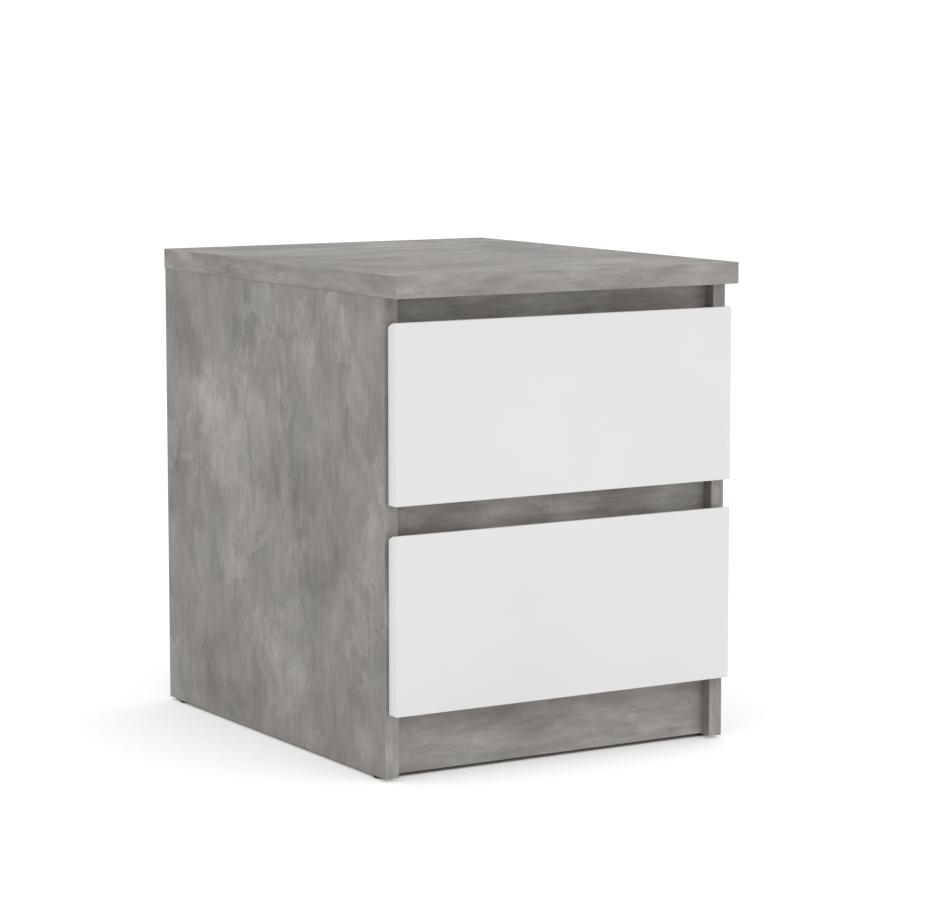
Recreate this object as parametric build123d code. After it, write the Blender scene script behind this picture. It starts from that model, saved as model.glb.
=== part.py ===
from build123d import *
import os

os.makedirs("parts", exist_ok=True)

# Two-drawer nightstand in 15 mm and 22 mm coated board.
# Origin: centre of the footprint on the floor. +Z is up, -Y is the front, +X is the right-hand side.

# ---- overall sizes ----
WIDTH = 403.0
DEPTH = 503.0
HEIGHT = 497.0
TOP_T = 22.0
BOARD_T = 15.0
EDGE_R = 0.5

# ---- cabinet ----
SIDE_SETBACK = 0.5
FRONT_SETBACK = 22.5
BACK_SETBACK = 1.0
GLIDE_H = 3.0
RAIL_RECESS = 14.0
RAIL_H = 60.0
MIDDLE_RAIL_Z = 216.0
PLINTH_Z = 4.0
BOTTOM_TOP_Z = 78.0
BACK_T = 3.0
BACK_PANEL_Y = 237.5
GROOVE_D = 7.0
GROOVE_PLAY = 0.1

SIDE_X1 = WIDTH / 2 - SIDE_SETBACK
SIDE_X0 = SIDE_X1 - BOARD_T
SIDE_Y0 = -DEPTH / 2 + FRONT_SETBACK
SIDE_Y1 = DEPTH / 2 - BACK_SETBACK
TOP_Z = HEIGHT - TOP_T
RAIL_Y0 = SIDE_Y0 + RAIL_RECESS
RAIL_Y1 = RAIL_Y0 + BOARD_T
RAIL_MID_Y = RAIL_Y0 + BOARD_T / 2
BACK_PANEL_Y1 = BACK_PANEL_Y + BACK_T
REAR_RAIL_Y1 = BACK_PANEL_Y - GROOVE_PLAY
REAR_RAIL_MID_Y = REAR_RAIL_Y1 - BOARD_T / 2
BOTTOM_MID_Z = BOTTOM_TOP_Z - BOARD_T / 2
SIDE_MID_X = SIDE_X0 + BOARD_T / 2

# ---- drawer fronts ----
FRONT_W = 396.0
FRONT_H = 178.0
FRONT_T = 15.0
FRONT_GAP = 1.0
FRONT_BOTTOM_Z = {"upper": 273.5, "lower": 67.0}
GRIP_DROP = 5.0
FRONT_NOSE_R = 1.0
FRONT_END_R = 1.2

FRONT_Y1 = SIDE_Y0 - FRONT_GAP
FRONT_Y0 = FRONT_Y1 - FRONT_T

# ---- drawer boxes ----
BOX_FROM_FRONT_BOTTOM = 17.0
BOX_H = 120.0
BOX_L = 400.0
BOX_T = 12.0
RUNNER_SPACE = 12.5
DRAWER_BOTTOM_T = 3.0
DRAWER_BOTTOM_Z = 10.0
DRAWER_GROOVE_D = 6.0
FRONT_GROOVE_D = 5.0
SHEET_PLAY = 0.3
BOX_EDGE_R = 1.5
DRAWER_CAM_H = 84.0
DRAWER_DOWEL_H = 42.0
BACK_SCREWS_H = (36.0, 100.0)
BACK_SCREW_L = 32.0
PAD_R = 4.0
PAD_T = 0.9
PADS_FROM_ENDS = (12.0, 18.0)

BOX_X1 = SIDE_X0 - RUNNER_SPACE
BOX_X0 = BOX_X1 - BOX_T
BOX_MID_X = BOX_X0 + BOX_T / 2
BOX_Y1 = FRONT_Y1 + BOX_L

# ---- roller runners ----
STEEL_T = 1.2
STEEL_BEND_R = 0.9
CHANNEL_X0 = 176.0
CHANNEL_H = 21.0
CHANNEL_MOUTH = 40.0
CHANNEL_Y0 = SIDE_Y0 + 2.0
MEMBER_H = 20.0
MEMBER_FLANGE_X = 183.0
MEMBER_SCREW_INSET = 3.2
ROLLER_R = 9.0
ROLLER_W = 6.8
ROLLER_BORE_R = 3.05
PIN_R = 3.0
PIN_HEAD_R = 4.2
PIN_HEAD_T = 0.8
ROLLER_PLAY = 0.05
ROLLER_EDGE_R = 0.8
ROLLER_RING_R = (5.0, 7.0)
ROLLER_RING_D = 0.8
PIN_PLAY = 0.3
CABINET_ROLLER_Y = CHANNEL_Y0 + 14.0
CABINET_ROLLER_H = MEMBER_H - STEEL_T - ROLLER_R - ROLLER_PLAY
DRAWER_ROLLER_Y = BOX_Y1 - 12.0
DRAWER_ROLLER_H = ROLLER_R + ROLLER_PLAY
CABINET_ROLLER_X = (176.9, 183.7)
DRAWER_ROLLER_X = (176.1, 182.9)
CHANNEL_SCREWS_Y = (-190.0, -30.0, 130.0)
CHANNEL_SCREW_H = 9.5
CHANNEL_SCREW_L = 14.0
MEMBER_SCREWS_Y = (-200.0, -30.0, 130.0)
MEMBER_SCREW_L = 9.5

# ---- fittings ----
# nut radius and depth, distance from the joint to the nut, bolt radius, its bore, its threaded length
CAM = {"nut_r": 7.4, "nut_d": 12.5, "reach": 34.0, "bolt_r": 3.5, "bore_r": 4.0, "thread_l": 11.0}
SMALL_CAM = {"nut_r": 5.9, "nut_d": 9.5, "reach": 24.0, "bolt_r": 2.8, "bore_r": 3.2, "thread_l": 10.0}
NUT_PLAY = 0.1
NUT_SLOT_D = 2.0
NUT_SLOT_HALF_W = 0.8
DOWEL_R = 4.0
SMALL_DOWEL_R = 3.0
DOWEL_L = 30.0
DOWEL_IN_FACE = 10.0
DOWEL_IN_TOP = 12.0
DOWEL_PLAY = 0.5
DOWEL_CHAMFER = 0.8
RAIL_FIXING = 15.0
PLINTH_CAM_Z = 26.0
PLINTH_DOWEL_Z = 48.0
NAIL_R = 0.8
NAIL_L = 20.0
NAIL_HEAD_R = 2.5
NAIL_HEAD_T = 0.8
NAILS_X = (-120.0, 0.0, 120.0)
GLIDE_R = 7.0
GLIDE_STEM_R = 2.0
GLIDE_STEM_L = 12.0
GLIDE_Y = (-205.0, 225.0)


def block(x, y, z):
    """A box from its low and high limits along each axis."""
    size = (x[1] - x[0], y[1] - y[0], z[1] - z[0])
    middle = ((x[0] + x[1]) / 2, (y[0] + y[1]) / 2, (z[0] + z[1]) / 2)
    return Pos(*middle) * Box(*size)


def rod(radius, start, direction, length):
    """A cylinder that starts at a point and runs along a direction."""
    base = Plane(origin=start, z_dir=direction)
    return base * Cylinder(radius, length, align=(Align.CENTER, Align.CENTER, Align.MIN))


def cone(radius0, radius1, start, direction, length):
    """A tapered plug that starts at a point and runs along a direction."""
    base = Plane(origin=start, z_dir=direction)
    return base * Cone(radius0, radius1, length, align=(Align.CENTER, Align.CENTER, Align.MIN))


def along(point, direction, distance):
    """The point a distance away along an axis direction."""
    return tuple(point[i] + direction[i] * distance for i in range(3))


def mirrored(shape):
    """The same piece for the other side of the cabinet."""
    return mirror(shape, about=Plane.YZ)


def both_sides(shapes):
    """The shapes of the right-hand side followed by their mirror images."""
    return shapes + [mirrored(shape) for shape in shapes]


def rounded_board(x, y, z, radius=EDGE_R):
    """A board with its edges lightly rounded, as an edge band is."""
    board = block(x, y, z)
    return fillet(board.edges(), radius)


def screw(start, direction, length, shank_r=1.75, head_r=3.5, head_h=1.9, tip_l=2.0, tip_r=0.3):
    """A countersunk screw whose flat head lies in the starting plane."""
    head = cone(head_r, shank_r, start, direction, head_h)
    shank = rod(shank_r, along(start, direction, head_h), direction, length - head_h - tip_l)
    tip = cone(shank_r, tip_r, along(start, direction, length - tip_l), direction, tip_l)
    return head + shank + tip


# ---- cam fittings: a bolt in one board, a nut turned in the other ----
def cam_bolt(face, direction, cam):
    """A bolt screwed into the board behind the face, its head held in the nut."""
    back = tuple(-value for value in direction)
    reach, bolt_r = cam["reach"], cam["bolt_r"]
    thread = rod(bolt_r * 0.72, face, back, cam["thread_l"])
    body = rod(bolt_r, face, direction, reach * 0.64)
    neck = rod(bolt_r * 0.5, along(face, direction, reach * 0.64), direction, reach * 0.2)
    head = rod(bolt_r * 0.82, along(face, direction, reach * 0.84), direction, reach * 0.12)
    return thread + body + neck + head


def cam_nut(mouth, inward, bolt_from, bolt_depth, cam):
    """A round nut set in from the board's face, with a cross recess and a mouth for the bolt."""
    nut = rod(cam["nut_r"], mouth, inward, cam["nut_d"])
    centre = along(mouth, inward, bolt_depth)
    nut -= rod(cam["bolt_r"], along(centre, bolt_from, -1.0), bolt_from, cam["nut_r"] + 2.0)
    arm = cam["nut_r"] * 0.62
    for turn in (0, 90):
        slot = Box(2 * arm, 2 * NUT_SLOT_HALF_W, 2 * NUT_SLOT_D)
        nut -= Plane(origin=mouth, x_dir=bolt_from, z_dir=inward) * Rot(0, 0, turn) * slot
    return nut


def cam_set(face, direction, mouth_dir, board_t, cam=CAM):
    """A bolt and nut, the bores of the board that holds the nut, and the bore of the bolt's thread."""
    inward = tuple(-value for value in mouth_dir)
    bolt_from = tuple(-value for value in direction)
    mouth = along(along(face, direction, cam["reach"]), mouth_dir, board_t / 2)
    bolt = cam_bolt(face, direction, cam)
    nut = cam_nut(mouth, inward, bolt_from, board_t / 2, cam)
    nut_bore = rod(cam["nut_r"] + NUT_PLAY, mouth, inward, cam["nut_d"] + 2 * NUT_PLAY)
    nut_bore += rod(cam["bore_r"], face, direction, cam["reach"])
    thread_bore = rod(cam["bolt_r"] * 0.72, face, bolt_from, cam["thread_l"])
    return bolt, nut, nut_bore, thread_bore


def dowel_set(face, direction, into_face, radius):
    """A dowel across a joint, its bore in the board that ends there, and its bore in the other board."""
    into_end = DOWEL_L - into_face
    pin = rod(radius, along(face, direction, -into_face), direction, DOWEL_L)
    pin = chamfer(pin.edges().filter_by(GeomType.CIRCLE), DOWEL_CHAMFER)
    back = tuple(-value for value in direction)
    end_bore = rod(radius, face, direction, into_end + DOWEL_PLAY)
    face_bore = rod(radius, face, back, into_face + DOWEL_PLAY)
    return pin, end_bore, face_bore


RIGHT = (1, 0, 0)
LEFT = (-1, 0, 0)
FRONT = (0, -1, 0)
REAR = (0, 1, 0)
UP = (0, 0, 1)
DOWN = (0, 0, -1)

# Each joint of the right-hand side panel: a point on the panel's inner face, or on its top edge.
rail_mid_z = {"top": TOP_Z - RAIL_H / 2, "middle": MIDDLE_RAIL_Z + RAIL_H / 2}
RAIL_CAMS = {
    "top_front_rail": ((SIDE_X0, RAIL_MID_Y, rail_mid_z["top"] + RAIL_FIXING), REAR),
    "middle_front_rail": ((SIDE_X0, RAIL_MID_Y, rail_mid_z["middle"] + RAIL_FIXING), REAR),
    "plinth": ((SIDE_X0, RAIL_MID_Y, PLINTH_CAM_Z), REAR),
    "rear_rail": ((SIDE_X0, REAR_RAIL_MID_Y, rail_mid_z["top"] + RAIL_FIXING), FRONT),
}
RAIL_DOWELS = {
    "top_front_rail": (SIDE_X0, RAIL_MID_Y, rail_mid_z["top"] - RAIL_FIXING),
    "middle_front_rail": (SIDE_X0, RAIL_MID_Y, rail_mid_z["middle"] - RAIL_FIXING),
    "plinth": (SIDE_X0, RAIL_MID_Y, PLINTH_DOWEL_Z),
    "rear_rail": (SIDE_X0, REAR_RAIL_MID_Y, rail_mid_z["top"] - RAIL_FIXING),
}
BOTTOM_CAMS_Y = (-150.0, 150.0)
BOTTOM_DOWELS_Y = (-110.0, 110.0)
TOP_CAMS_Y = (-170.0, 190.0)
TOP_DOWELS_Y = (-120.0, 140.0)

parts = {}
bolts, nuts, dowels = [], [], []
side_cuts, top_cuts = [], []
board_cuts = {name: [] for name in list(RAIL_CAMS) + ["bottom_panel"]}

for name, (face, mouth_dir) in RAIL_CAMS.items():
    bolt, nut, nut_bore, thread_bore = cam_set(face, LEFT, mouth_dir, BOARD_T)
    bolts.append(bolt)
    nuts.append(nut)
    board_cuts[name].append(nut_bore)
    side_cuts.append(thread_bore)

for y in BOTTOM_CAMS_Y:
    bolt, nut, nut_bore, thread_bore = cam_set((SIDE_X0, y, BOTTOM_MID_Z), LEFT, DOWN, BOARD_T)
    bolts.append(bolt)
    nuts.append(nut)
    board_cuts["bottom_panel"].append(nut_bore)
    side_cuts.append(thread_bore)

for y in TOP_CAMS_Y:
    bolt, nut, nut_bore, thread_bore = cam_set((SIDE_MID_X, y, TOP_Z), DOWN, LEFT, BOARD_T)
    bolts.append(bolt)
    nuts.append(nut)
    side_cuts.append(nut_bore)
    top_cuts.append(thread_bore)

for name, face in RAIL_DOWELS.items():
    pin, end_bore, face_bore = dowel_set(face, LEFT, DOWEL_IN_FACE, DOWEL_R)
    dowels.append(pin)
    board_cuts[name].append(end_bore)
    side_cuts.append(face_bore)

for y in BOTTOM_DOWELS_Y:
    pin, end_bore, face_bore = dowel_set((SIDE_X0, y, BOTTOM_MID_Z), LEFT, DOWEL_IN_FACE, DOWEL_R)
    dowels.append(pin)
    board_cuts["bottom_panel"].append(end_bore)
    side_cuts.append(face_bore)

for y in TOP_DOWELS_Y:
    pin, end_bore, face_bore = dowel_set((SIDE_MID_X, y, TOP_Z), DOWN, DOWEL_IN_TOP, DOWEL_R)
    dowels.append(pin)
    side_cuts.append(end_bore)
    top_cuts.append(face_bore)

parts["cabinet_cam_bolts"] = both_sides(bolts)
parts["cabinet_cam_nuts"] = both_sides(nuts)
parts["cabinet_dowels"] = both_sides(dowels)

# ---- floor glides, nailed into the bottom edges of the side panels ----
glides = []
for y in GLIDE_Y:
    disc = rod(GLIDE_R, (SIDE_MID_X, y, 0), UP, GLIDE_H)
    disc = fillet(disc.edges().filter_by(GeomType.CIRCLE).sort_by(Axis.Z)[0], 1.0)
    stem = rod(GLIDE_STEM_R, (SIDE_MID_X, y, GLIDE_H), UP, GLIDE_STEM_L)
    glides.append(disc + stem)
    side_cuts.append(rod(GLIDE_STEM_R, (SIDE_MID_X, y, GLIDE_H), UP, GLIDE_STEM_L))
parts["floor_glides"] = both_sides(glides)


# ---- runners ----
def channel_screws(z0):
    """Screws that hold the cabinet's channel to the side panel, heads flush with its web."""
    x = SIDE_X0 - STEEL_T
    return [screw((x, y, z0 + CHANNEL_SCREW_H), RIGHT, CHANNEL_SCREW_L) for y in CHANNEL_SCREWS_Y]


def roller_pin(plate_x, y, z, roller_x):
    """A riveted pin from a steel plate: a shoulder, the shaft in the roller's bore, and a head."""
    way = RIGHT if roller_x[0] > plate_x else LEFT
    near, far = sorted(roller_x, key=lambda x: abs(x - plate_x))
    shoulder = rod(PIN_HEAD_R, (plate_x, y, z), way, abs(near - plate_x) - PIN_PLAY)
    shaft = rod(PIN_R, (plate_x, y, z), way, abs(far - plate_x) + PIN_PLAY)
    head = rod(PIN_HEAD_R, along((far, y, z), way, PIN_PLAY), way, PIN_HEAD_T)
    return shoulder + shaft + head


def cabinet_channel(z0):
    """The fixed steel channel, open above its front roller, with the pin that roller turns on."""
    y = (CHANNEL_Y0, CHANNEL_Y0 + BOX_L)
    web_x = SIDE_X0 - STEEL_T
    web = block((web_x, SIDE_X0), y, (z0 - STEEL_T, z0 + CHANNEL_H + STEEL_T))
    foot = block((CHANNEL_X0, SIDE_X0), y, (z0 - STEEL_T, z0))
    roof_z = (z0 + CHANNEL_H, z0 + CHANNEL_H + STEEL_T)
    roof = block((CHANNEL_X0, SIDE_X0), (y[0] + CHANNEL_MOUTH, y[1]), roof_z)
    channel = web + foot + roof
    channel = fillet(channel.edges().filter_by(Axis.Y).group_by(Axis.X)[-1], STEEL_BEND_R)
    channel += roller_pin(web_x, CABINET_ROLLER_Y, z0 + CABINET_ROLLER_H, CABINET_ROLLER_X)
    for piece in channel_screws(z0):
        channel -= piece
    return channel


def member_screws(z0):
    """Screws from below, through the profile's foot, into the drawer side."""
    x = BOX_X1 - MEMBER_SCREW_INSET
    start_z = z0 - STEEL_T
    return [screw((x, y, start_z), UP, MEMBER_SCREW_L, 1.4, 2.6, 1.4) for y in MEMBER_SCREWS_Y]


def drawer_member(z0):
    """The moving steel profile under the drawer side, with the pin of its rear roller."""
    y = (FRONT_Y1 + 1.0, BOX_Y1 + 1.0)
    wall_x = BOX_X1 + STEEL_T
    foot = block((BOX_X0, wall_x), y, (z0 - STEEL_T, z0))
    wall = block((BOX_X1, wall_x), y, (z0 - STEEL_T, z0 + MEMBER_H))
    flange = block((BOX_X1, MEMBER_FLANGE_X), y, (z0 + MEMBER_H - STEEL_T, z0 + MEMBER_H))
    member = foot + wall + flange
    member += roller_pin(wall_x, DRAWER_ROLLER_Y, z0 + DRAWER_ROLLER_H, DRAWER_ROLLER_X)
    for piece in member_screws(z0):
        member -= piece
    return member


def roller(x, y, z):
    """A plastic wheel with a ring-shaped recess in each face and a bore for its pin."""
    wheel = rod(ROLLER_R, (x[0], y, z), RIGHT, ROLLER_W)
    wheel = fillet(wheel.edges().filter_by(GeomType.CIRCLE), ROLLER_EDGE_R)
    inner, outer = ROLLER_RING_R
    for start, way in ((x[0], RIGHT), (x[1], LEFT)):
        wheel -= rod(outer, (start, y, z), way, ROLLER_RING_D) - rod(inner, (start, y, z), way, ROLLER_RING_D)
    return wheel - rod(ROLLER_BORE_R, (x[0], y, z), RIGHT, ROLLER_W)


screws = []
for level, front_z in FRONT_BOTTOM_Z.items():
    z0 = front_z + BOX_FROM_FRONT_BOTTOM
    channel = cabinet_channel(z0)
    wheel = roller(CABINET_ROLLER_X, CABINET_ROLLER_Y, z0 + CABINET_ROLLER_H)
    parts[f"{level}_right_cabinet_runner"] = [channel]
    parts[f"{level}_left_cabinet_runner"] = [mirrored(channel)]
    parts[f"{level}_right_cabinet_roller"] = [wheel]
    parts[f"{level}_left_cabinet_roller"] = [mirrored(wheel)]
    screws += channel_screws(z0)
side_cuts += screws
parts["cabinet_runner_screws"] = both_sides(screws)

# ---- cabinet boards ----
back_groove = (BACK_PANEL_Y - GROOVE_PLAY, BACK_PANEL_Y1 + GROOVE_PLAY)
side = rounded_board((SIDE_X0, SIDE_X1), (SIDE_Y0, SIDE_Y1), (GLIDE_H, TOP_Z))
side -= block((SIDE_X0, SIDE_X0 + GROOVE_D), back_groove, (GLIDE_H, TOP_Z))
for cut in side_cuts:
    side -= cut
parts["right_side_panel"] = [side]
parts["left_side_panel"] = [mirrored(side)]

top = rounded_board((-WIDTH / 2, WIDTH / 2), (-DEPTH / 2, DEPTH / 2), (TOP_Z, HEIGHT))
groove_x = SIDE_X0 + GROOVE_D
top -= block((-groove_x, groove_x), back_groove, (TOP_Z, TOP_Z + GROOVE_D))
for cut in both_sides(top_cuts):
    top -= cut
parts["top_panel"] = [top]

BOARDS = {
    "top_front_rail": ((RAIL_Y0, RAIL_Y1), (TOP_Z - RAIL_H, TOP_Z)),
    "middle_front_rail": ((RAIL_Y0, RAIL_Y1), (MIDDLE_RAIL_Z, MIDDLE_RAIL_Z + RAIL_H)),
    "plinth": ((RAIL_Y0, RAIL_Y1), (PLINTH_Z, BOTTOM_TOP_Z)),
    "rear_rail": ((REAR_RAIL_Y1 - BOARD_T, REAR_RAIL_Y1), (TOP_Z - RAIL_H, TOP_Z)),
    "bottom_panel": ((RAIL_Y1, REAR_RAIL_Y1), (BOTTOM_TOP_Z - BOARD_T, BOTTOM_TOP_Z)),
}
for name, (y, z) in BOARDS.items():
    board = block((-SIDE_X0, SIDE_X0), y, z)
    for cut in both_sides(board_cuts[name]):
        board -= cut
    parts[name] = [board]

nails = []
for z in (BOTTOM_MID_Z, TOP_Z - RAIL_H / 2):
    for x in NAILS_X:
        shank = rod(NAIL_R, (x, BACK_PANEL_Y1, z), FRONT, NAIL_L)
        nails.append(shank + rod(NAIL_HEAD_R, (x, BACK_PANEL_Y1, z), REAR, NAIL_HEAD_T))
back_x = SIDE_X0 + GROOVE_D - SHEET_PLAY
back_top = TOP_Z + GROOVE_D - SHEET_PLAY
back = block((-back_x, back_x), (BACK_PANEL_Y, BACK_PANEL_Y1), (BOTTOM_TOP_Z - BOARD_T, back_top))
for nail in nails:
    back -= nail
    parts["bottom_panel"][0] -= nail
    parts["rear_rail"][0] -= nail
parts["back_panel"] = [back]
parts["back_panel_nails"] = nails


# ---- drawers ----
def drawer_front(z0):
    """A front whose top edge falls away to the rear, as a grip for the fingers."""
    z1 = z0 + FRONT_H
    run = FRONT_T - FRONT_NOSE_R
    arc_r = (run ** 2 + GRIP_DROP ** 2) / (2 * GRIP_DROP)
    half_y = run / 2
    half_drop = arc_r - (arc_r ** 2 - half_y ** 2) ** 0.5
    with BuildSketch(Plane.YZ) as profile:
        with BuildLine():
            Line((FRONT_Y0, z0), (FRONT_Y1, z0))
            Line((FRONT_Y1, z0), (FRONT_Y1, z1 - GRIP_DROP))
            ThreePointArc((FRONT_Y1, z1 - GRIP_DROP),
                          (FRONT_Y0 + FRONT_NOSE_R + half_y, z1 - half_drop),
                          (FRONT_Y0 + FRONT_NOSE_R, z1))
            Line((FRONT_Y0 + FRONT_NOSE_R, z1), (FRONT_Y0, z1))
            Line((FRONT_Y0, z1), (FRONT_Y0, z0))
        make_face()
        corners = profile.vertices()
        fillet([v for v in corners if v.Y < z0 + 1.0], FRONT_END_R)
        nose = [v for v in profile.vertices() if v.Y > z1 - 0.01 and v.X < FRONT_Y0 + 0.01]
        fillet(nose, FRONT_NOSE_R * 0.9)
    board = extrude(profile.sketch, FRONT_W / 2, both=True)
    ends = board.edges().group_by(Axis.X)
    return fillet(ends[0] + ends[-1], FRONT_END_R * 0.8)


def build_drawer(level, front_z):
    """All the pieces of one drawer, added to the parts."""
    z0 = front_z + BOX_FROM_FRONT_BOTTOM
    top_z = z0 + BOX_H
    sheet_z = (z0 + DRAWER_BOTTOM_Z, z0 + DRAWER_BOTTOM_Z + DRAWER_BOTTOM_T)
    groove_z = (sheet_z[0] - GROOVE_PLAY / 2, sheet_z[1] + GROOVE_PLAY / 2)
    cam_face = (BOX_MID_X, FRONT_Y1, z0 + DRAWER_CAM_H)
    bolt, nut, nut_bore, thread_bore = cam_set(cam_face, REAR, LEFT, BOX_T, SMALL_CAM)
    dowel_face = (BOX_MID_X, FRONT_Y1, z0 + DRAWER_DOWEL_H)
    pin, end_bore, face_bore = dowel_set(dowel_face, REAR, DOWEL_IN_FACE, SMALL_DOWEL_R)

    back_y = (BOX_Y1 - BOX_T, BOX_Y1)
    screw_y = BOX_Y1 - BOX_T / 2
    back_screws = [screw((BOX_X1, screw_y, z0 + h), LEFT, BACK_SCREW_L) for h in BACK_SCREWS_H]

    box_side = block((BOX_X0, BOX_X1), (FRONT_Y1, BOX_Y1), (z0, top_z))
    box_side = fillet(box_side.edges().filter_by(Axis.Y).group_by(Axis.Z)[-1], BOX_EDGE_R)
    box_side -= block((BOX_X0, BOX_X0 + DRAWER_GROOVE_D), (FRONT_Y1, BOX_Y1), groove_z)
    for cut in [nut_bore, end_bore] + back_screws + member_screws(z0):
        box_side -= cut

    front = drawer_front(front_z)
    reach_x = BOX_X0 + DRAWER_GROOVE_D
    front -= block((-reach_x, reach_x), (FRONT_Y1 - FRONT_GROOVE_D, FRONT_Y1), groove_z)
    for cut in both_sides([thread_bore, face_bore]):
        front -= cut

    back_board = block((-BOX_X0, BOX_X0), back_y, (groove_z[1], top_z))
    back_board = fillet(back_board.edges().filter_by(Axis.X).group_by(Axis.Z)[-1], BOX_EDGE_R)
    for cut in both_sides(back_screws):
        back_board -= cut

    sheet_x = reach_x - SHEET_PLAY
    sheet_y = (FRONT_Y1 - FRONT_GROOVE_D + SHEET_PLAY, BOX_Y1)

    pads = []
    for z in (front_z + PADS_FROM_ENDS[0], front_z + FRONT_H - PADS_FROM_ENDS[1]):
        pad = rod(PAD_R, (SIDE_MID_X - 1.0, FRONT_Y1, z), REAR, PAD_T)
        pads.append(fillet(pad.edges().filter_by(GeomType.CIRCLE).sort_by(Axis.Y)[-1], 0.5))

    member = drawer_member(z0)
    wheel = roller(DRAWER_ROLLER_X, DRAWER_ROLLER_Y, z0 + DRAWER_ROLLER_H)
    parts[f"{level}_drawer_front"] = [front]
    parts[f"{level}_drawer_right_side"] = [box_side]
    parts[f"{level}_drawer_left_side"] = [mirrored(box_side)]
    parts[f"{level}_drawer_back"] = [back_board]
    parts[f"{level}_drawer_bottom"] = [block((-sheet_x, sheet_x), sheet_y, sheet_z)]
    parts[f"{level}_drawer_right_runner"] = [member]
    parts[f"{level}_drawer_left_runner"] = [mirrored(member)]
    parts[f"{level}_drawer_right_roller"] = [wheel]
    parts[f"{level}_drawer_left_roller"] = [mirrored(wheel)]
    parts[f"{level}_drawer_cam_bolts"] = both_sides([bolt])
    parts[f"{level}_drawer_cam_nuts"] = both_sides([nut])
    parts[f"{level}_drawer_dowels"] = both_sides([pin])
    parts[f"{level}_drawer_screws"] = both_sides(back_screws + member_screws(z0))
    parts[f"{level}_drawer_pads"] = both_sides(pads)


for level, front_z in FRONT_BOTTOM_Z.items():
    build_drawer(level, front_z)

for name, solids in parts.items():
    shape = solids[0] if len(solids) == 1 else Compound(children=solids)
    export_step(shape, f"parts/{name}.step")
print(len(parts), "parts")
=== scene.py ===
import math
import bpy
import bmesh
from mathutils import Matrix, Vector


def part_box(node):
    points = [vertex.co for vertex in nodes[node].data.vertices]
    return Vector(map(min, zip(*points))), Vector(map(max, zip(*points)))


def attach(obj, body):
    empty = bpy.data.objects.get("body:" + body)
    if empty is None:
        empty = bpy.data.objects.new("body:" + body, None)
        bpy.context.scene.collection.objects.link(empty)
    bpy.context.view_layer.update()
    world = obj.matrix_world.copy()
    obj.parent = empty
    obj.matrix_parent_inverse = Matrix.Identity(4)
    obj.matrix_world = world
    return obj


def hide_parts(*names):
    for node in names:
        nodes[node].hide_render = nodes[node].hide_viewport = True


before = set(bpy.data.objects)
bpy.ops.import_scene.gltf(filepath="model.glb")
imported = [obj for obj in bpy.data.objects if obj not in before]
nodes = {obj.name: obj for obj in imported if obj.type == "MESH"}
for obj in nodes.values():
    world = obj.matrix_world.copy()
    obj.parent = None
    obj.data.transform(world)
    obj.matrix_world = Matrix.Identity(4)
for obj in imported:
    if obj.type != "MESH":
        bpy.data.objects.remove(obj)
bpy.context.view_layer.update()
mm = 0.001
levels = ("upper", "lower")
sides = ("left", "right")
print("frame loaded:", len(nodes), "nodes")


class Link:
    # an output socket, whose operators add Math nodes

    def __init__(self, tree, socket):
        self.tree = tree
        self.socket = socket

    def math(self, operation, other=0.0, swap=False, clamp=False):
        # swap puts the other value first, as in 1 - mask
        made = self.tree.nodes.new("ShaderNodeMath")
        made.operation = operation
        made.use_clamp = clamp
        pair = (other, self) if swap else (self, other)
        for slot, value in zip(made.inputs, pair):
            if isinstance(value, Link):
                self.tree.links.new(value.socket, slot)
            else:
                slot.default_value = value
        return Link(self.tree, made.outputs[0])

    def __add__(self, other):
        return self.math("ADD", other)

    def __radd__(self, other):
        return self.math("ADD", other)

    def __sub__(self, other):
        return self.math("SUBTRACT", other)

    def __rsub__(self, other):
        return self.math("SUBTRACT", other, swap=True)

    def __mul__(self, other):
        return self.math("MULTIPLY", other)

    def __rmul__(self, other):
        return self.math("MULTIPLY", other)

    def clamped(self):
        return self.math("ADD", 0.0, clamp=True)


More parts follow.
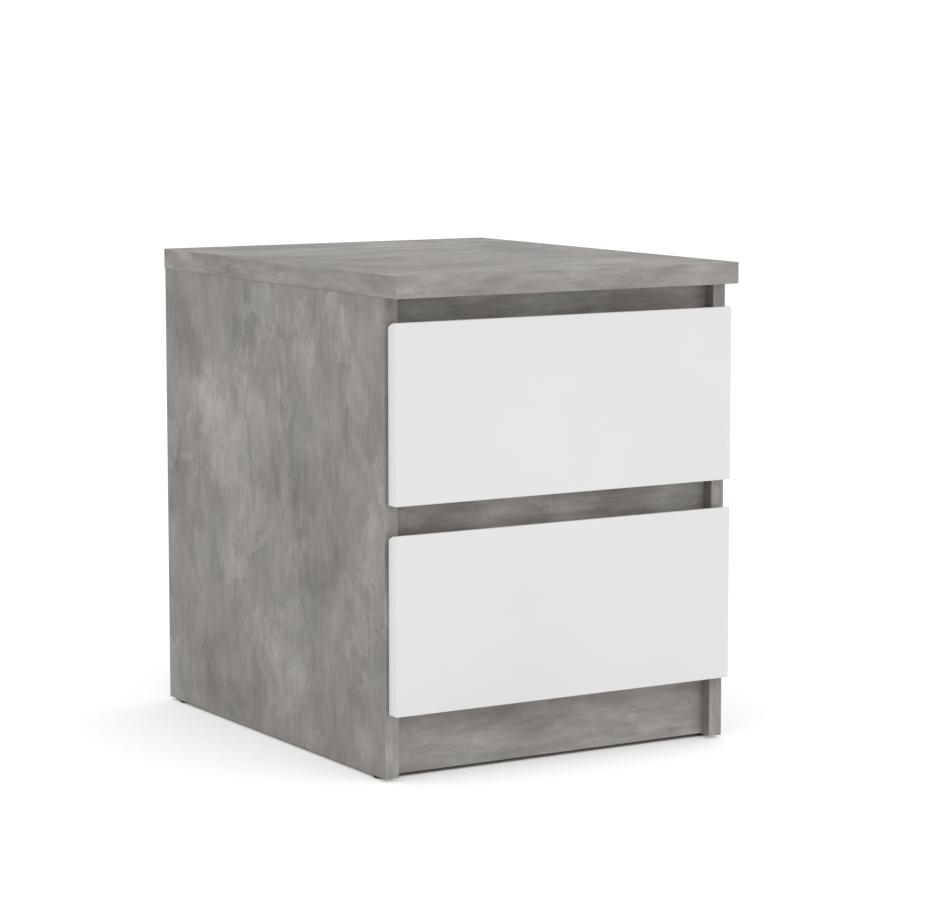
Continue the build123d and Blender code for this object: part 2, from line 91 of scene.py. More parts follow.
class Finish:
    # a material and its node tree, with one method for each kind of node that the finishes use

    def __init__(self, name, **constants):
        self.material = bpy.data.materials.new(name)
        self.material.use_nodes = True
        self.tree = self.material.node_tree
        self.shader = self.tree.nodes["Principled BSDF"]
        for socket, value in constants.items():
            self.shader.inputs[socket.replace("_", " ")].default_value = value
        self.place = self.node("ShaderNodeTexCoord", out="Object")

    def node(self, kind, settings=None, values=None, out=0):
        # settings go on the node, a ramp's stops too, and values are constants or links of its sockets
        made = self.tree.nodes.new(kind)
        for key, value in (settings or {}).items():
            if key == "stops":
                stops = made.color_ramp.elements
                for i, (where, shade) in enumerate(value):
                    stop = stops[i] if i < 2 else stops.new(where)
                    stop.position = where
                    stop.color = (*shade, 1.0)
            else:
                setattr(made, key, value)
        for key, value in (values or {}).items():
            if isinstance(value, Link):
                self.tree.links.new(value.socket, made.inputs[key])
            else:
                made.inputs[key].default_value = value
        return Link(self.tree, made.outputs[out])

    def mapped(self, vector, factors, shift=(0, 0, 0)):
        values = {"Vector": vector, "Scale": factors, "Location": shift}
        return self.node("ShaderNodeMapping", None, values)

    def vector(self, operation, first, second, out=0):
        return self.node("ShaderNodeVectorMath", {"operation": operation}, {0: first, 1: second}, out)

    def noise(self, vector, scale, detail=3.0, roughness=0.5, distortion=0.0, out="Fac"):
        values = {"Vector": vector, "Scale": scale, "Detail": detail, "Roughness": roughness}
        values["Distortion"] = distortion
        return self.node("ShaderNodeTexNoise", None, values, out)

    def step(self, value, low, high, first=0.0, last=1.0):
        # runs smoothly from first to last as the value passes from low to high
        values = {"Value": value, "From Min": low, "From Max": high, "To Min": first, "To Max": last}
        return self.node("ShaderNodeMapRange", {"interpolation_type": "SMOOTHSTEP"}, values)

    def mix(self, share, first, last, blend="MIX"):
        first, last = ((*c, 1.0) if isinstance(c, tuple) else c for c in (first, last))
        values = {0: share, 6: first, 7: last}
        return self.node("ShaderNodeMix", {"data_type": "RGBA", "blend_type": blend}, values, 2)

    def feed(self, **links):
        for socket, link in links.items():
            self.tree.links.new(link.socket, self.shader.inputs[socket.replace("_", " ")])
        return self

    def bump(self, height, depth, strength=1.0):
        values = {"Height": height, "Distance": depth, "Strength": strength}
        return self.feed(Normal=self.node("ShaderNodeBump", None, values))


def tone(red, green, blue):
    # a colour as a screen shows it, made linear
    shares = (c / 255 for c in (red, green, blue))
    return tuple(c / 12.92 if c <= 0.04045 else ((c + 0.055) / 1.055) ** 2.4 for c in shares)


def grainFactors(grain, share):
    # pulls a pattern out along the grain
    return tuple(share if axis == grain else 1.0 for axis in "XYZ")


# layers: scale, stretch along the grain, offset, detail, roughness and distortion
# streaked: the layers that a board's own streak draws out further
# edges and fades: where a layer's pattern starts and where it is full
concreteFoil = {
    "dark": (98, 94.5, 91), "mid": (137, 133, 129.5), "light": (172, 168.5, 164.5),
    "rose": (1.02, 0.99, 0.99), "moss": (0.985, 1.005, 0.975),
    "roughness": 0.5, "roughnessPlay": 0.12, "specular": 0.3,
    "layers": {
        "cloud": (15.0, 0.75, 0.0, 7, 0.6, 0.4),
        "mottle": (38.0, 0.6, 3.1, 6, 0.68, 0.5),
        "stroke": (140.0, 0.28, 19.3, 3, 0.55, 0.2),
        "skim": (9.5, 0.8, 5.3, 10, 0.62, 0.5),
        "scuff": (24.0, 0.6, 7.7, 9, 0.66, 0.6),
        "fibre": (430.0, 0.12, 9.2, 2, 0.6, 0.0),
        "hair": (330.0, 0.035, 11.9, 1, 0.5, 0.0),
        "cluster": (15.0, 1.0, 13.4, 2, 0.5, 0.0),
        "fleck": (300.0, 0.3, 15.6, 1, 0.5, 0.0),
        "pit": (420.0, 0.45, 17.1, 2, 0.6, 0.0),
        "dust": (1500.0, 0.5, 23.4, 1, 0.5, 0.0),
    },
    "streaked": ("cloud", "mottle", "stroke", "skim", "scuff", "fibre"),
    "weights": {
        "cloud": 0.66, "mottle": 0.62, "stroke": 0.36, "fibre": 0.10, "skim": 0.15, "rim": 0.07,
        "scuff": -0.10, "hair": 0.07, "fleck": 0.18, "pit": -0.13, "dust": 0.1,
    },
    "skimEdge": (0.535, 0.55), "skimFade": (0.55, 0.68), "skimRest": 0.2, "rimFade": (0.545, 0.57),
    "scuffEdge": (0.56, 0.61), "hairEdge": (0.66, 0.74), "clusterEdge": (0.5, 0.62),
    "fleckEdge": (0.70, 0.76), "pitEdge": (0.70, 0.76),
    "tearScale": 34.0, "tearReach": 0.05,
    "driftScale": 11.0, "driftOffset": 21.0, "driftEdge": (0.36, 0.64),
    "bumpDepth": 0.0001, "bumpStrength": 0.4,
}


def concreteFinish(name, grain, shift, streak=1.0, lift=0.0, skims=1.0, contrast=1.0, patches=()):
    # a printed foil: cloudy cement with skimmed patches, fine brush lines along the grain and flecks
    # lift moves its tone and skims weighs the skimmed patches
    # patches are ellipsoids, each with its middle, half size, gain and softness
    s = concreteFoil
    weights = s["weights"]
    made = Finish(name, Roughness=s["roughness"], Specular_IOR_Level=s["specular"])

    def layer(key):
        scale, stretch, offset, detail, roughness, distortion = s["layers"][key]
        share = stretch / streak if key in s["streaked"] else stretch
        at = tuple(c + offset for c in shift)
        mapped = made.mapped(made.place, grainFactors(grain, share), at)
        return made.noise(mapped, scale, detail, roughness, distortion)

    cloud = layer("cloud")
    mottle = layer("mottle")
    stroke = layer("stroke")
    fibre = layer("fibre")
    dust = layer("dust")
    skimmed = layer("skim")
    inside = made.step(skimmed, *s["skimEdge"])
    skim = inside * made.step(skimmed, *s["skimFade"], 1.0, s["skimRest"])
    rim = inside * made.step(skimmed, *s["rimFade"], 1.0, 0.0)
    scuff = made.step(layer("scuff"), *s["scuffEdge"])
    hair = made.step(layer("hair"), *s["hairEdge"])
    cluster = made.step(layer("cluster"), *s["clusterEdge"])
    fleck = made.step(layer("fleck"), *s["fleckEdge"]) * cluster
    pit = made.step(layer("pit"), *s["pitEdge"])
    value = ((cloud - 0.5) * weights["cloud"] + (mottle - 0.5) * weights["mottle"]
             + (stroke - 0.5) * weights["stroke"] + (fibre - 0.5) * weights["fibre"]
             + (skim - 0.2) * (weights["skim"] * skims) + rim * (weights["rim"] * skims)
             + (scuff - 0.2) * (weights["scuff"] * skims))
    marks = (hair * weights["hair"] + fleck * weights["fleck"] + pit * weights["pit"]
             + dust * weights["dust"])
    value = value * contrast + marks + (0.5 + lift - weights["dust"] * 0.5)

    # ragged ellipsoids lift or darken a place
    jagged = made.noise(made.place, s["tearScale"], 8, 0.68, 0.0, "Color")
    tear = made.vector("SUBTRACT", jagged, (0.5, 0.5, 0.5))
    tear = made.vector("MULTIPLY", tear, (s["tearReach"],) * 3)
    ragged = made.vector("ADD", made.place, tear)
    for middle, half, gain, soft in patches:
        shape = made.vector("DIVIDE", made.vector("SUBTRACT", ragged, middle), half)
        far = made.vector("LENGTH", shape, (0, 0, 0), "Value")
        value = value + made.step(far, 1.0 - soft, 1.0, 1.0, 0.0) * gain

    stops = [(0.0, tone(*s["dark"])), (1.0, tone(*s["light"])), (0.5, tone(*s["mid"]))]
    base = made.node("ShaderNodeValToRGB", {"stops": stops}, {"Fac": value.clamped()})
    driftPlace = made.mapped(made.place, (1, 1, 1), (shift[0] + s["driftOffset"], shift[1], shift[2]))
    drift = made.step(made.noise(driftPlace, s["driftScale"], 3, 0.55), *s["driftEdge"])
    tinted = made.mix(1.0, base, made.mix(drift, s["rose"], s["moss"]), "MULTIPLY")
    play = s["roughnessPlay"]
    made.feed(Base_Color=tinted, Roughness=s["roughness"] - play / 2 + mottle * play + pit * play)
    height = fibre * 0.4 + stroke * 0.4 + dust * 0.2 - pit * 0.6
    return made.bump(height, s["bumpDepth"], s["bumpStrength"]).material


def aside(at, half, gain, soft):
    # a patch on an upright side board, placed by its depth and height
    return (0.0, *at), (1.0, *half), gain, soft


leftPatches = [
    aside((0.105, 0.320), (0.105, 0.070), 0.12, 0.12),
    aside((0.130, 0.352), (0.055, 0.040), 0.05, 0.35),
    aside((0.012, 0.345), (0.060, 0.042), 0.08, 0.35),
    aside((-0.065, 0.275), (0.050, 0.040), -0.13, 0.5),
    aside((-0.095, 0.185), (0.050, 0.035), -0.10, 0.6),
    aside((0.115, 0.030), (0.085, 0.030), -0.15, 0.6),
    aside((-0.020, 0.070), (0.060, 0.045), 0.09, 0.2),
    aside((-0.060, 0.425), (0.055, 0.032), 0.10, 0.7),
    aside((0.155, 0.140), (0.035, 0.075), 0.07, 0.5),
    aside((0.060, 0.420), (0.060, 0.028), -0.08, 0.6),
    aside((0.205, 0.410), (0.060, 0.070), -0.12, 0.7),
    aside((-0.190, 0.400), (0.050, 0.060), 0.05, 0.7),
    aside((0.215, 0.230), (0.030, 0.120), -0.08, 0.7),
    aside((-0.175, 0.030), (0.050, 0.025), 0.08, 0.6),
]
concreteLeft = concreteFinish("concrete_left_side", "Z", (2.2, 1.1, 0.7),
                              lift=-0.19, skims=0.8, patches=leftPatches)
concreteRight = concreteFinish("concrete_right_side", "Z", (5.2, 3.7, 2.4), lift=-0.10, skims=0.7)
# painted shade: the top's copy of the foil is darker, and its left half darker still, partly for the
# foil's darker streaks and partly as a painted shadow of the bottles that stood on the top
topStreakAndShadowPatches = [((-0.24, 0.0, 0.497), (0.24, 0.5, 1.0), -0.16, 1.0)]
concreteTop = concreteFinish("concrete_top", "X", (0.4, 2.0, 1.0), streak=1.9,
                             lift=-0.28, skims=0.8, contrast=1.35, patches=topStreakAndShadowPatches)
bandPatches = [((0.02, -0.25, 0.486), (0.11, 0.02, 0.05), 0.09, 0.9)]
concreteX = concreteFinish("concrete_grain_across", "X", (3.4, 6.2, 5.1), streak=1.8,
                           skims=0.4, contrast=1.5, patches=bandPatches)
plinthPatches = [
    ((0.010, -0.22, 0.055), (0.120, 0.05, 0.080), -0.14, 0.8),
    ((-0.110, -0.22, 0.020), (0.050, 0.05, 0.022), 0.05, 0.5),
]
concretePlinth = concreteFinish("concrete_plinth", "X", (3.4, 6.2, 5.1), streak=1.8,
                                skims=0.4, contrast=1.3, patches=plinthPatches)
# painted light and shade: the rails' copy of the foil is lifted to offset the shade in their recess, and
# its patches darken the upper rail's left end and lighten its middle and right
railPaintedShading = [
    ((-0.145, -0.22, 0.46), (0.080, 0.05, 0.05), -0.07, 0.8),
    ((0.020, -0.22, 0.46), (0.110, 0.05, 0.05), 0.06, 0.7),
    ((0.150, -0.22, 0.46), (0.110, 0.05, 0.05), 0.12, 0.8),
]
concreteRail = concreteFinish("concrete_rail", "X", (7.4, 3.2, 0.1), streak=1.8,
                              lift=0.12, skims=0.4, contrast=1.9, patches=railPaintedShading)
concreteY = concreteFinish("concrete_grain_deep", "Y", (1.4, 0.3, 4.0), streak=1.8,
                           lift=-0.14, skims=0.4, contrast=1.4)
concreteZ = concreteFinish("concrete_grain_upright", "Z", (6.3, 8.8, 1.2), streak=1.6,
                           lift=-0.05, skims=0.4, contrast=1.6)
print("concrete foils made")


rawBoard = {
    "dark": (112, 98, 82), "mid": (156, 141, 120), "light": (190, 177, 156),
    "roughness": 0.85, "specular": 0.2, "chips": 520.0, "chipShape": (1, 0.55, 0.45),
    "wander": 0.012, "wanderScale": 300.0, "dust": 900.0, "bumpDepth": 0.0003, "bumpStrength": 0.7,
}


def rawBoardFinish():
    # particle board where an edge has no band
    s = rawBoard
    made = Finish("raw_particle_board", Roughness=s["roughness"], Specular_IOR_Level=s["specular"])
    jitter = made.noise(made.place, s["wanderScale"], 2, 0.5, 0.0, "Color")
    wander = made.mix(s["wander"], made.place, jitter)
    values = {"Vector": made.mapped(wander, s["chipShape"]), "Scale": s["chips"], "Randomness": 1.0}
    chips = made.node("ShaderNodeTexVoronoi", None, values, "Color")
    pick = made.node("ShaderNodeSeparateColor", None, {"Color": chips})
    dust = made.noise(made.place, s["dust"], 3, 0.6)
    stops = [(0.0, tone(*s["dark"])), (1.0, tone(*s["light"])), (0.45, tone(*s["mid"]))]
    share = (pick * 0.75 + dust * 0.3).clamped()
    base = made.node("ShaderNodeValToRGB", {"stops": stops}, {"Fac": share})
    height = pick + dust * 0.6
    return made.feed(Base_Color=base).bump(height, s["bumpDepth"], s["bumpStrength"]).material


lacquer = {
    "low": (207, 207, 206.5), "high": (210, 209.5, 209.5), "roughness": 0.28, "roughnessPlay": 0.08,
    "specular": 0.4, "peel": 260.0, "haze": 6.0, "bumpDepth": 0.00003, "bumpStrength": 0.25,
}


def lacquerFinish():
    # satin white lacquer with a faint orange peel
    s = lacquer
    made = Finish("white_lacquer", Roughness=s["roughness"], Specular_IOR_Level=s["specular"])
    peel = made.noise(made.place, s["peel"], 2, 0.5)
    haze = made.noise(made.place, s["haze"], 3, 0.5)
    base = made.mix(made.step(haze, 0.35, 0.65), tone(*s["low"]), tone(*s["high"]))
    made.feed(Base_Color=base, Roughness=s["roughness"] + haze * s["roughnessPlay"])
    return made.bump(peel, s["bumpDepth"], s["bumpStrength"]).material


plainBoard = {
    "specular": 0.35, "stretch": 0.06, "speck": 950.0, "roughnessPlay": 0.2,
    "bumpDepth": 0.00006, "bumpStrength": 0.5,
}


def boardFinish(name, low, high, grain, roughness=0.5, scale=240.0):
    # a plain foil or paper with a faint line along the grain
    s = plainBoard
    made = Finish(name, Roughness=roughness, Specular_IOR_Level=s["specular"])
    streak = made.noise(made.mapped(made.place, grainFactors(grain, s["stretch"])), scale, 3, 0.55)
    speck = made.noise(made.place, s["speck"], 2, 0.6)
    share = (streak * 0.75 + speck * 0.35 - 0.05).clamped()
    made.feed(Base_Color=made.mix(share, tone(*low), tone(*high)))
    made.feed(Roughness=roughness + (speck - 0.5) * s["roughnessPlay"])
    return made.bump(speck * 0.6 + streak * 0.4, s["bumpDepth"], s["bumpStrength"]).material


metal = {
    "mark": 700.0, "stretch": 0.05, "cloud": 60.0, "roughnessPlay": 0.22,
    "bumpDepth": 0.00003, "bumpStrength": 0.4,
}


def metalFinish(name, low, high, roughness, metallic, brush=None):
    # steel, zinc or epoxy over steel, brushed along an axis where one is given
    s = metal
    made = Finish(name, Roughness=roughness, Metallic=metallic)
    mark = made.noise(made.mapped(made.place, grainFactors(brush, s["stretch"])), s["mark"], 3, 0.6)
    cloud = made.noise(made.place, s["cloud"], 3, 0.6)
    share = (mark * 0.5 + cloud * 0.5).clamped()
    made.feed(Base_Color=made.mix(share, tone(*low), tone(*high)))
    made.feed(Roughness=roughness + (mark - 0.5) * s["roughnessPlay"])
    return made.bump(mark, s["bumpDepth"], s["bumpStrength"]).material


plastic = {
    "specular": 0.5, "grit": 1400.0, "cloud": 90.0, "roughnessPlay": 0.2,
    "bumpDepth": 0.00002, "bumpStrength": 0.5,
}


def plasticFinish(name, low, high, roughness):
    # moulded plastic with a fine grit
    s = plastic
    made = Finish(name, Roughness=roughness, Specular_IOR_Level=s["specular"])
    grain = made.noise(made.place, s["grit"], 2, 0.6)
    cloud = made.noise(made.place, s["cloud"], 3, 0.5)
    share = (grain * 0.4 + cloud * 0.6).clamped()
    made.feed(Base_Color=made.mix(share, tone(*low), tone(*high)))
    made.feed(Roughness=roughness + (grain - 0.5) * s["roughnessPlay"])
    return made.bump(grain, s["bumpDepth"], s["bumpStrength"]).material


beechWood = {
    "low": (176, 132, 88), "high": (218, 182, 138), "roughness": 0.6, "specular": 0.3,
    "rays": 900.0, "rayStretch": 0.12, "rings": 260.0, "ringStretch": 0.1,
    "bumpDepth": 0.00008, "bumpStrength": 0.6,
}


def beechFinish():
    # wood with its grain across the cabinet, as most of its dowels lie
    s = beechWood
    made = Finish("beech_dowel", Roughness=s["roughness"], Specular_IOR_Level=s["specular"])
    rayPlace = made.mapped(made.place, grainFactors("X", s["rayStretch"]))
    ringPlace = made.mapped(made.place, grainFactors("X", s["ringStretch"]))
    rays = made.noise(rayPlace, s["rays"], 3, 0.6, 0.3)
    rings = made.noise(ringPlace, s["rings"], 2, 0.5, 0.5)
    base = made.mix((rays * 0.5 + rings * 0.5).clamped(), tone(*s["low"]), tone(*s["high"]))
    return made.feed(Base_Color=base).bump(rays, s["bumpDepth"], s["bumpStrength"]).material


rawEdge = rawBoardFinish()
whiteFront = lacquerFinish()
drawerBoard = boardFinish("drawer_board_white", (209, 207, 204), (223, 221.5, 219), "Y")
drawerSheet = boardFinish("drawer_sheet_white", (200, 198.5, 195.5), (217, 215.5, 213), "X", 0.6, 160.0)
backSheet = boardFinish("back_sheet_grey", (126, 122, 118), (146, 142, 138), "X", 0.65, 120.0)
runnerSteel = metalFinish("runner_white_epoxy", (205, 206, 205), (222, 222, 220), 0.38, 0.0)
zincNut = metalFinish("zinc_die_cast", (150, 152, 156), (188, 190, 194), 0.42, 0.9)
boltSteel = metalFinish("zinc_plated_steel", (158, 160, 164), (204, 205, 208), 0.3, 1.0, "X")
rollerNylon = plasticFinish("roller_nylon", (214, 213, 206), (228, 227, 221), 0.4)
glidePlastic = plasticFinish("glide_black_plastic", (26, 26, 27), (38, 38, 39), 0.45)
bumperPlastic = plasticFinish("bumper_clear_soft", (214, 214, 212), (230, 230, 228), 0.25)
beech = beechFinish()
print("other finishes made")


def finishCarriedNodes():
    # the CAD nodes that stay get their finishes here
    chosen = {
        "rear_rail": concreteX, "bottom_panel": concreteX, "back_panel": backSheet,
        "top_front_rail": concreteRail, "middle_front_rail": concreteRail, "plinth": concretePlinth,
        "cabinet_cam_nuts": zincNut, "cabinet_cam_bolts": boltSteel, "cabinet_dowels": beech,
        "cabinet_runner_screws": boltSteel, "back_panel_nails": boltSteel, "floor_glides": glidePlastic,
    }
    for level in levels:
        box = f"{level}_drawer"
        chosen |= {f"{box}_back": drawerBoard, f"{box}_bottom": drawerSheet, f"{box}_cam_nuts": zincNut,
                   f"{box}_cam_bolts": boltSteel, f"{box}_dowels": beech, f"{box}_screws": boltSteel,
                   f"{box}_pads": bumperPlastic}
        for side in sides:
            fixed = f"{level}_{side}_cabinet"
            chosen |= {f"{box}_{side}_side": drawerBoard, f"{box}_{side}_runner": runnerSteel,
                       f"{box}_{side}_roller": rollerNylon, f"{fixed}_runner": runnerSteel,
                       f"{fixed}_roller": rollerNylon}
    for name, finish in chosen.items():
        for holder in nodes[name].material_slots:
            holder.material = finish
    print("carried-over nodes finished:", len(chosen))


finishCarriedNodes()


def linkMesh(bm, name, finishes):
    # turns a bmesh into an object in the scene, its materials in order
    mesh = bpy.data.meshes.new(name)
    bm.to_mesh(mesh)
    bm.free()
    for finish in finishes:
        mesh.materials.append(finish)
    piece = bpy.data.objects.new(name, mesh)
    bpy.context.scene.collection.objects.link(piece)
    return piece


def boreHoles(piece, bores):
    # bores holes with raw walls, each given by its mouth, its way in, its radius and its depth
    bm = bmesh.new()
    for mouth, way, radius, depth in bores:
        rod = bmesh.ops.create_cone(bm, cap_ends=True, segments=40, radius1=radius, radius2=radius,
                                    depth=2 * depth)["verts"]
        turn = Vector(way).to_track_quat("Z", "Y").to_matrix()
        bmesh.ops.rotate(bm, cent=(0, 0, 0), matrix=turn, verts=rod)
        bmesh.ops.translate(bm, vec=mouth, verts=rod)
    drill = linkMesh(bm, "drill", [rawEdge])
    cut = piece.modifiers.new("bores", "BOOLEAN")
    cut.object = drill
    cut.solver = "EXACT"
    cut.material_mode = "TRANSFER"
    bpy.context.view_layer.update()
    bored = bpy.data.meshes.new_from_object(piece.evaluated_get(bpy.context.evaluated_depsgraph_get()))
    piece.modifiers.clear()
    bored.name = piece.name
    piece.data = bored
    bpy.data.objects.remove(drill)


def addPiece(bm, name, body, replaced, finishes, smoothAngle=40, bores=()):
    # makes a piece that rides on a body and stands for CAD nodes
    bmesh.ops.remove_doubles(bm, verts=bm.verts, dist=1e-6)
    bmesh.ops.recalc_face_normals(bm, faces=bm.faces)
    for face in bm.faces:
        face.smooth = True
    piece = linkMesh(bm, name, finishes)
    if bores:
        boreHoles(piece, bores)
    piece.data.set_sharp_from_angle(angle=math.radians(smoothAngle))
    weighted = piece.modifiers.new("even_shading", "WEIGHTED_NORMAL")
    weighted.keep_sharp = True
    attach(piece, body)
    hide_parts(*replaced)
    return piece


def boardMesh(low, high, edgeRadius, segments=3):
    # a board between two corners with its edges eased
    bm = bmesh.new()
    bmesh.ops.create_cube(bm, size=1.0)
    bmesh.ops.scale(bm, vec=high - low, verts=bm.verts)
    bmesh.ops.translate(bm, vec=(low + high) / 2, verts=bm.verts)
    bmesh.ops.bevel(bm, geom=list(bm.edges), offset=edgeRadius, offset_type="OFFSET", segments=segments,
                    profile=0.5, affect="EDGES", material=-1)
    return bm


def cutAcross(bm, axis, *places):
    # cuts the faces on planes square to an axis
    normal = Vector([float(i == axis) for i in range(3)])
    for place in places:
        geom = [*bm.verts, *bm.edges, *bm.faces]
        bmesh.ops.bisect_plane(bm, geom=geom, plane_co=normal * place, plane_no=normal, dist=1e-7)


def sinkFaces(bm, chosen, way):
    # presses faces in to make a groove
    grown = bmesh.ops.extrude_face_region(bm, geom=chosen)
    bmesh.ops.delete(bm, geom=chosen, context="FACES")
    moved = [v for v in grown["geom"] if isinstance(v, bmesh.types.BMVert)]
    bmesh.ops.translate(bm, vec=way, verts=moved)
    bm.normal_update()


facing = 0.99  # how squarely a face has to look along an axis to count as facing it
topBoard = {"edgeRadius": 0.5 * mm, "band": 0.9 * mm, "grooveDepth": 7 * mm, "play": 0.1 * mm}


def makeTopBoard():
    s = topBoard
    low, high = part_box("top_panel")
    bm = boardMesh(low, high, s["edgeRadius"])
    for axis in (0, 1):
        cutAcross(bm, axis, low[axis] + s["band"], high[axis] - s["band"])
    backLow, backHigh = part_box("back_panel")
    grooveX = (backLow.x - s["play"], backHigh.x + s["play"])
    grooveY = (backLow.y - s["play"], backHigh.y + s["play"])
    cutAcross(bm, 0, *grooveX)
    cutAcross(bm, 1, *grooveY)
    bm.normal_update()
    under = []
    for face in bm.faces:
        centre = face.calc_center_median()
        inGroove = grooveX[0] < centre.x < grooveX[1] and grooveY[0] < centre.y < grooveY[1]
        if inGroove and face.normal.z < -facing:
            under.append(face)
    sinkFaces(bm, under, Vector((0, 0, s["grooveDepth"])))
    for face in bm.faces:
        # foil, then the bands at the two ends, then those in front and behind
        centre = face.calc_center_median()
        if abs(centre.x) > high.x - s["band"]:
            face.material_index = 1
        elif abs(centre.y) > high.y - s["band"]:
            face.material_index = 2
    finishes = [concreteTop, concreteY, concreteX]
    return addPiece(bm, "top_board", "cabinet", ["top_panel"], finishes)


sideBoard = {
    "edgeRadius": 0.4 * mm, "band": 0.9 * mm, "grooveDepth": 7 * mm, "play": 0.1 * mm,
    "nutBoreRadius": 7.5 * mm, "nutBoreDepth": 12.7 * mm, "nutDrop": 34 * mm,
    "nutPlaces": (-170 * mm, 190 * mm),
}


def makeSideBoard(side):
    s = sideBoard
    low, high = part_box(f"{side}_side_panel")
    inward = -1.0 if side == "right" else 1.0
    inner = low.x if side == "right" else high.x
    bm = boardMesh(low, high, s["edgeRadius"])
    backLow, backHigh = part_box("back_panel")
    groove = (backLow.y - s["play"], backHigh.y + s["play"])
    cutAcross(bm, 1, low.y + s["band"], *groove)
    bm.normal_update()
    inside = []
    for face in bm.faces:
        centre = face.calc_center_median()
        if face.normal.x * inward > facing and groove[0] < centre.y < groove[1]:
            inside.append(face)
    sinkFaces(bm, inside, Vector((-inward * s["grooveDepth"], 0, 0)))
    flat = s["edgeRadius"] * 0.3
    for face in bm.faces:
        # foil, then the bands in front and below, then the raw edge behind
        centre = face.calc_center_median()
        if centre.y < low.y + s["band"]:
            face.material_index = 1
        elif centre.z < low.z + flat:
            face.material_index = 2
        elif centre.y > high.y - flat:
            face.material_index = 3
    foil = concreteLeft if side == "left" else concreteRight
    finishes = [foil, concreteZ, concreteY, rawEdge]
    bores = []
    for y in s["nutPlaces"]:
        mouth = (inner, y, high.z - s["nutDrop"])
        bores.append((mouth, (-inward, 0, 0), s["nutBoreRadius"], s["nutBoreDepth"]))
    return addPiece(bm, f"{side}_side_board", "cabinet", [f"{side}_side_panel"],
                    finishes, bores=bores)


frontPanel = {
    "gripDrop": 5.0 * mm, "noseFlat": 1.0 * mm, "arcSteps": 14, "edgeRadius": 1.2 * mm, "segments": 5,
    "sharpAngle": 25, "smoothAngle": 50,
}


def makeFrontPanel(level):
    # the outline is a corner swept back over the grip, closed below and pulled across the width
    s = frontPanel
    low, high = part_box(f"{level}_drawer_front")
    run = high.y - low.y - s["noseFlat"]
    radius = (run ** 2 + s["gripDrop"] ** 2) / (2 * s["gripDrop"])
    bm = bmesh.new()
    nose = bm.verts.new((low.x, low.y + s["noseFlat"], high.z))
    centre = (low.x, low.y + s["noseFlat"], high.z - radius)
    bmesh.ops.spin(bm, geom=[nose], cent=centre, axis=(1, 0, 0), angle=-math.asin(run / radius),
                   steps=s["arcSteps"], use_merge=False, use_duplicate=False)
    corners = [(low.x, high.y, low.z), (low.x, low.y, low.z), (low.x, low.y, high.z)]
    for corner in corners:
        bm.verts.new(corner)
    bmesh.ops.remove_doubles(bm, verts=bm.verts, dist=1e-6)
    profile = bmesh.ops.contextual_create(bm, geom=list(bm.verts))["faces"]
    grown = bmesh.ops.extrude_face_region(bm, geom=profile)
    moved = [v for v in grown["geom"] if isinstance(v, bmesh.types.BMVert)]
    bmesh.ops.translate(bm, vec=(high.x - low.x, 0, 0), verts=moved)
    bmesh.ops.recalc_face_normals(bm, faces=bm.faces)
    sharp = [e for e in bm.edges if e.calc_face_angle() > math.radians(s["sharpAngle"])]
    bmesh.ops.bevel(bm, geom=sharp, offset=s["edgeRadius"], offset_type="OFFSET", segments=s["segments"],
                    profile=0.5, affect="EDGES", material=-1)
    return addPiece(bm, f"{level}_front_panel", f"{level}_drawer",
                    [f"{level}_drawer_front"], [whiteFront], s["smoothAngle"])


makeTopBoard()
for side in sides:
    makeSideBoard(side)
for level in levels:
    makeFrontPanel(level)
print("boards and fronts made")


studio = {
    "floorHalf": 20.0, "floorTone": 0.78, "floorHaze": 0.995, "floorGlow": 0.25, "skyStrength": 1.04,
    "underMiddle": (0.0, 0.018, 0.0), "underHalf": (0.199, 0.233, 1.0), "underSoft": 0.005,
    "lamps": {
        "key": {"place": (1.3, -3.6, 2.6), "aim": (0, 0, 0.2), "size": 2.6, "power": 28.0},
        "above": {"place": (0, 0, 3.2), "aim": (0, 0, 0), "size": 2.6, "power": 9.0},
        "fill": {"place": (-3.6, -0.8, 1.8), "aim": (0, 0, 0.3), "size": 2.4, "power": 8.0},
    },
}


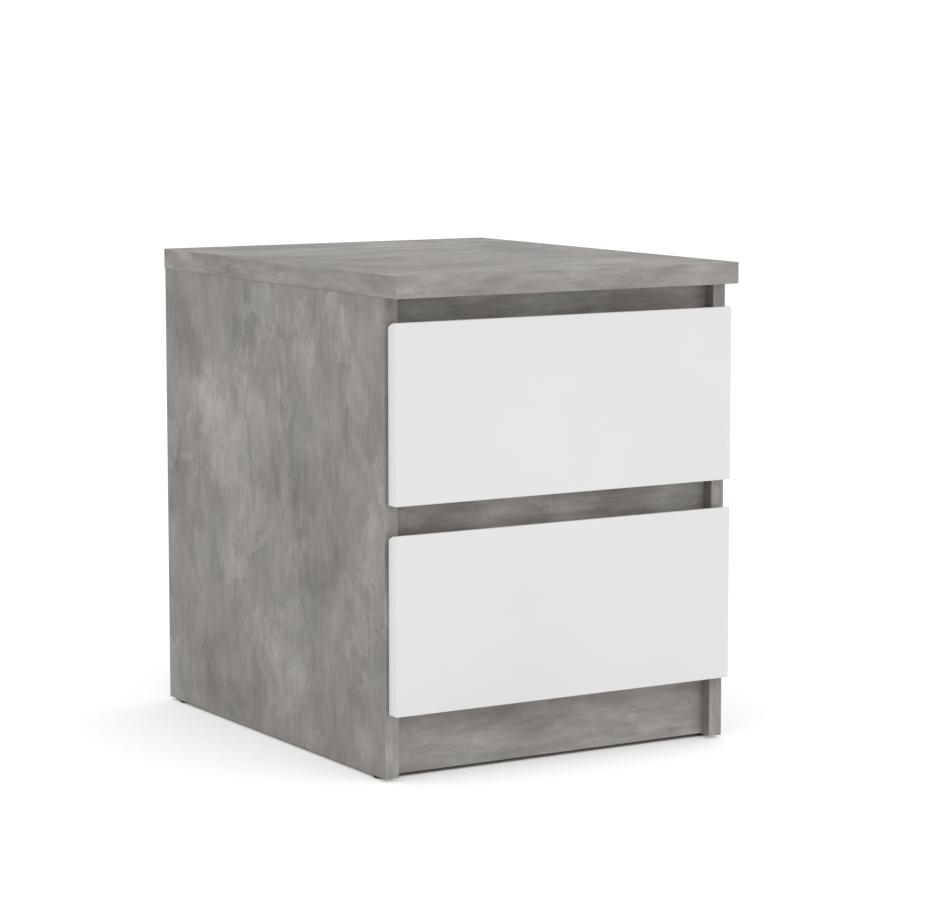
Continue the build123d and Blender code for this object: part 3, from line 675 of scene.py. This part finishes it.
def makeFloor():
    s = studio
    bm = bmesh.new()
    bmesh.ops.create_grid(bm, x_segments=1, y_segments=1, size=s["floorHalf"])
    made = Finish("studio_floor", Roughness=1.0, Specular_IOR_Level=0.0,
                  Emission_Strength=s["floorGlow"])
    pale = (s["floorTone"],) * 3
    haze = made.noise(made.place, 3.0, 2, 0.5)
    made.feed(Base_Color=made.mix(haze, pale, tuple(c * s["floorHaze"] for c in pale)))
    # painted light and shade: the floor glows to lift the shadows on it, and the glow stops under the
    # cabinet, so its foot keeps a dark contact line as a painted shadow
    spot = made.vector("SUBTRACT", made.place, s["underMiddle"])
    spot = made.vector("ABSOLUTE", spot, (0, 0, 0))
    past = made.vector("SUBTRACT", spot, s["underHalf"])
    across = made.step(made.node("ShaderNodeSeparateXYZ", None, {0: past}, 0), -s["underSoft"], 0.0)
    deep = made.step(made.node("ShaderNodeSeparateXYZ", None, {0: past}, 1), -s["underSoft"], 0.0)
    made.feed(Emission_Color=made.mix(across.math("MAXIMUM", deep), (0.0, 0.0, 0.0), (1.0, 1.0, 1.0)))
    linkMesh(bm, "studio_floor", [made.material])


def makeLight():
    sky = bpy.data.worlds.new("studio_sky")
    bpy.context.scene.world = sky
    sky.use_nodes = True
    glow = sky.node_tree.nodes["Background"]
    glow.inputs["Color"].default_value = (1, 1, 1, 1)
    glow.inputs["Strength"].default_value = studio["skyStrength"]
    for name, given in studio["lamps"].items():
        lamp = bpy.data.lights.new(name, "AREA")
        lamp.size = given["size"]
        lamp.energy = given["power"]
        holder = bpy.data.objects.new(name, lamp)
        bpy.context.scene.collection.objects.link(holder)
        holder.location = given["place"]
        aim = Vector(given["aim"]) - holder.location
        holder.rotation_euler = aim.to_track_quat("-Z", "Y").to_euler()
    bpy.context.scene.view_settings.view_transform = "Standard"


camera = {
    "place": (-1.7207, -2.89495, 0.7106), "yaw": 31.287, "pitch": 7.111,
    "lens": 121.82, "sensor": 36.0, "nearest": 0.05,
}


def makeCamera():
    s = camera
    data = bpy.data.cameras.new("camera")
    data.lens = s["lens"]
    data.sensor_width = s["sensor"]
    data.clip_start = s["nearest"]
    holder = bpy.data.objects.new("camera", data)
    bpy.context.scene.collection.objects.link(holder)
    holder.location = s["place"]
    holder.rotation_euler = (math.radians(90 - s["pitch"]), 0, -math.radians(s["yaw"]))
    bpy.context.scene.camera = holder


makeFloor()
makeLight()
makeCamera()
print("studio and camera set")
